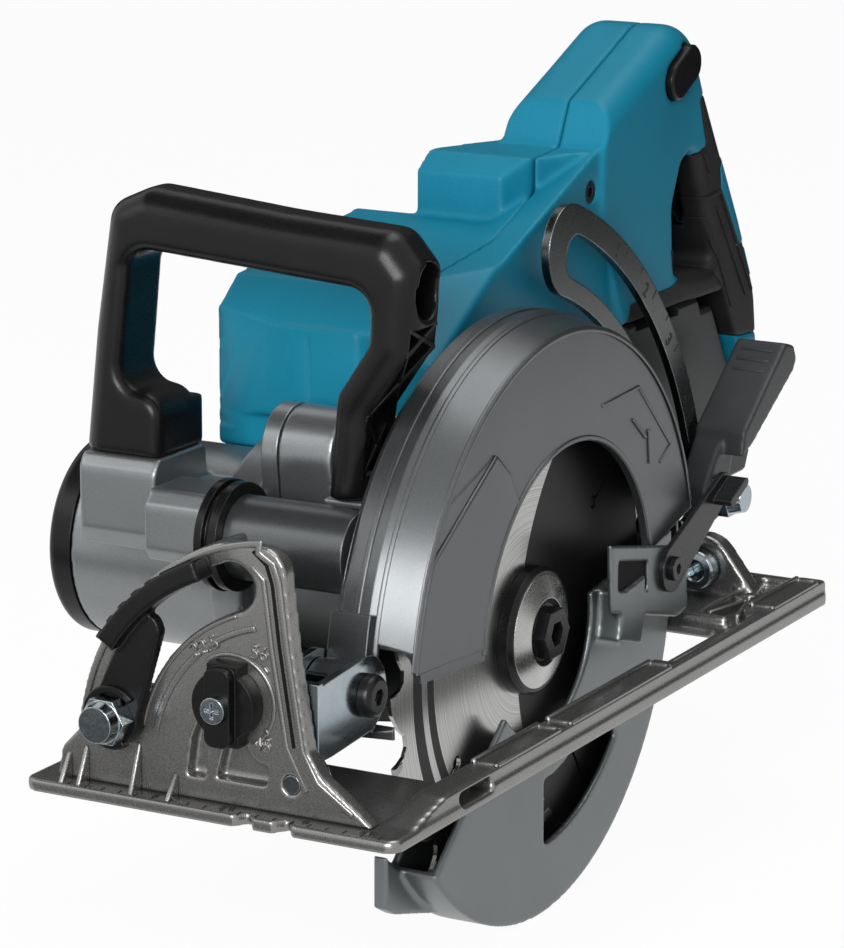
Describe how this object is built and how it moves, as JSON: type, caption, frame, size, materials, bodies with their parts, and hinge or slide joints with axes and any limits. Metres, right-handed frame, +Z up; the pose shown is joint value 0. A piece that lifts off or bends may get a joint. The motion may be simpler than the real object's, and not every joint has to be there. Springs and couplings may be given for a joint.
{
  "type": "cordless circular saw",
  "caption": "Rear-handle cordless circular saw with a bevelling base, depth guide link, sprung lower guard, front bail handle and slide-in battery.",
  "frame": {"origin": "on the sole of the base, in the blade's middle plane, straight below the arbor", "axes": "+X along the arbor and out of the blade side, +Y to the rear handle, +Z up from the sole"},
  "size_m": [0.192, 0.4245, 0.2834],
  "materials": {
    "cast_grey": "cast, satin grey",
    "guard_grey": "painted casting, metallic grey",
    "silver_paint": "painted casting, silver grey",
    "guide_steel": "zinc plated sheet",
    "zinc": "bright zinc plate",
    "blade_steel": "ground steel",
    "black_steel": "black oxide",
    "lower_guard_silver": "bead blasted",
    "black_plastic": "fine grain",
    "teal_plastic": "fine grain",
    "black_rubber": "soft grip",
    "iron_core": "laminated",
    "inner_steel": "machined",
    "pack_plastic": "moulded"
  },
  "bodies": {
    "base": {"base_plate": "cast_grey", "front_bevel_bracket": "cast_grey", "bracket_screws": "black_steel", "rear_bevel_bush": "zinc", "bevel_pins": "zinc"},
    "bevel_stop": {"bevel_stop_knob": "black_plastic", "bevel_stop_screw": "zinc"},
    "tilt_frame": {"front_tilt_plate": "zinc", "rear_tilt_bracket": "zinc", "front_clamp_bolt": "zinc", "depth_pivot_screw": "black_steel", "guide_pin": "zinc"},
    "bevel_clamp": {"bevel_lever": "black_plastic", "bevel_lever_nut": "zinc"},
    "depth_link": {"depth_guide": "guide_steel"},
    "saw_head": {"upper_guard": "guard_grey", "tube_collar": "black_plastic", "gear_case": "silver_paint", "bearing_plate": "silver_paint", "gear_case_screws": "black_steel", "motor_housing": "silver_paint", "motor_end_cap": "black_plastic", "stator": "iron_core", "motor_bearings": "inner_steel", "idler_bearings": "inner_steel", "spindle_bearings": "inner_steel", "shell_left": "teal_plastic", "shell_right": "teal_plastic", "shell_screws": "black_steel", "rear_grip": "black_rubber", "front_handle": "black_plastic", "front_handle_screws": "black_steel", "controller": "black_plastic", "switch_module": "black_plastic", "terminal_block": "black_plastic", "trigger_pin": "inner_steel", "depth_clamp_bolt": "zinc", "guard_return_spring": "inner_steel", "guard_retaining_ring": "inner_steel"},
    "depth_clamp": {"depth_lever": "black_plastic", "depth_lever_nut": "zinc"},
    "blade_drive": {"saw_blade": "blade_steel", "inner_flange": "black_steel", "outer_flange": "black_steel", "arbor_bolt": "black_steel", "spindle": "inner_steel", "spindle_gear": "inner_steel"},
    "idler": {"idler_shaft": "inner_steel", "idler_wheel": "inner_steel"},
    "rotor": {"rotor_shaft": "inner_steel", "rotor_core": "iron_core", "cooling_fan": "black_plastic"},
    "blade_guard": {"lower_guard": "lower_guard_silver", "guard_lever": "black_steel", "guard_lever_screw": "black_steel"},
    "trigger_body": {"trigger": "black_plastic"},
    "lock_off": {"lock_off_button": "black_plastic"},
    "shaft_lock": {"shaft_lock_button": "black_plastic"},
    "battery": {"battery_pack": "pack_plastic"},
    "battery_latch": {"battery_release": "black_plastic"}
  },
  "joints": [
    {"name": "bevel_stop_turn", "type": "hinge", "parent": "base", "child": "bevel_stop", "pos_m": [-0.0226, -0.155, 0.038], "axis": [0, 1, 0], "range_deg": [-60, 60]},
    {"name": "bevel_tilt", "type": "hinge", "parent": "base", "child": "tilt_frame", "pos_m": [-0.002, 0, 0.014], "axis": [0, 1, 0], "range_deg": [0, 56]},
    {"name": "bevel_clamp_lever", "type": "hinge", "parent": "tilt_frame", "child": "bevel_clamp", "pos_m": [-0.063, -0.158, 0.0285], "axis": [0, 1, 0], "range_deg": [-70, 0]},
    {"name": "depth_swing", "type": "hinge", "parent": "tilt_frame", "child": "saw_head", "pos_m": [0, -0.116, 0.034], "axis": [1, 0, 0], "range_deg": [0, 26]},
    {"name": "depth_guide_swing", "type": "hinge", "parent": "tilt_frame", "child": "depth_link", "pos_m": [-0.019, 0.172, 0.014], "axis": [1, 0, 0], "range_deg": [-24, 0.5]},
    {"name": "depth_clamp_lever", "type": "hinge", "parent": "saw_head", "child": "depth_clamp", "pos_m": [-0.012, 0.1646, 0.037], "axis": [1, 0, 0], "range_deg": [-35, 0]},
    {"name": "blade_spin", "type": "hinge", "parent": "saw_head", "child": "blade_drive", "pos_m": [0, 0, 0.0265], "axis": [1, 0, 0], "continuous": true},
    {"name": "idler_spin", "type": "hinge", "parent": "saw_head", "child": "idler", "pos_m": [0, -0.006, 0.0477], "axis": [1, 0, 0], "continuous": true},
    {"name": "rotor_spin", "type": "hinge", "parent": "saw_head", "child": "rotor", "pos_m": [0, -0.026, 0.048], "axis": [1, 0, 0], "continuous": true},
    {"name": "guard_swing", "type": "hinge", "parent": "saw_head", "child": "blade_guard", "pos_m": [0, 0, 0.0265], "axis": [1, 0, 0], "range_deg": [0, 105], "stiffness_Nm_per_rad": 0.3, "springref_deg": -57.3},
    {"name": "trigger_pull", "type": "hinge", "parent": "saw_head", "child": "trigger_body", "pos_m": [-0.045, 0.19, 0.166], "axis": [1, 0, 0], "range_deg": [0, 8], "stiffness_Nm_per_rad": 0.3, "springref_deg": -5.73},
    {"name": "lock_off_press", "type": "slide", "parent": "saw_head", "child": "lock_off", "axis": [1, 0, 0], "range_m": [-0.0022, 0.0022], "stiffness_N_per_m": 300},
    {"name": "shaft_lock_press", "type": "slide", "parent": "saw_head", "child": "shaft_lock", "axis": [0, 1, 0], "range_m": [0, 0.003], "stiffness_N_per_m": 300, "springref_m": -0.002},
    {"name": "battery_slide", "type": "slide", "parent": "saw_head", "child": "battery", "axis": [-1, 0, 0], "range_m": [0, 0.085]},
    {"name": "battery_release_press", "type": "slide", "parent": "battery", "child": "battery_latch", "axis": [1, 0, 0], "range_m": [0, 0.0024], "stiffness_N_per_m": 300, "springref_m": -0.002}
  ],
  "couplings": [
    {"joint": "depth_guide_swing", "follows": "depth_swing", "ratio": -0.87},
    {"joint": "idler_spin", "follows": "blade_spin", "ratio": -1.4444},
    {"joint": "rotor_spin", "follows": "blade_spin", "ratio": 3.3704}
  ]
}
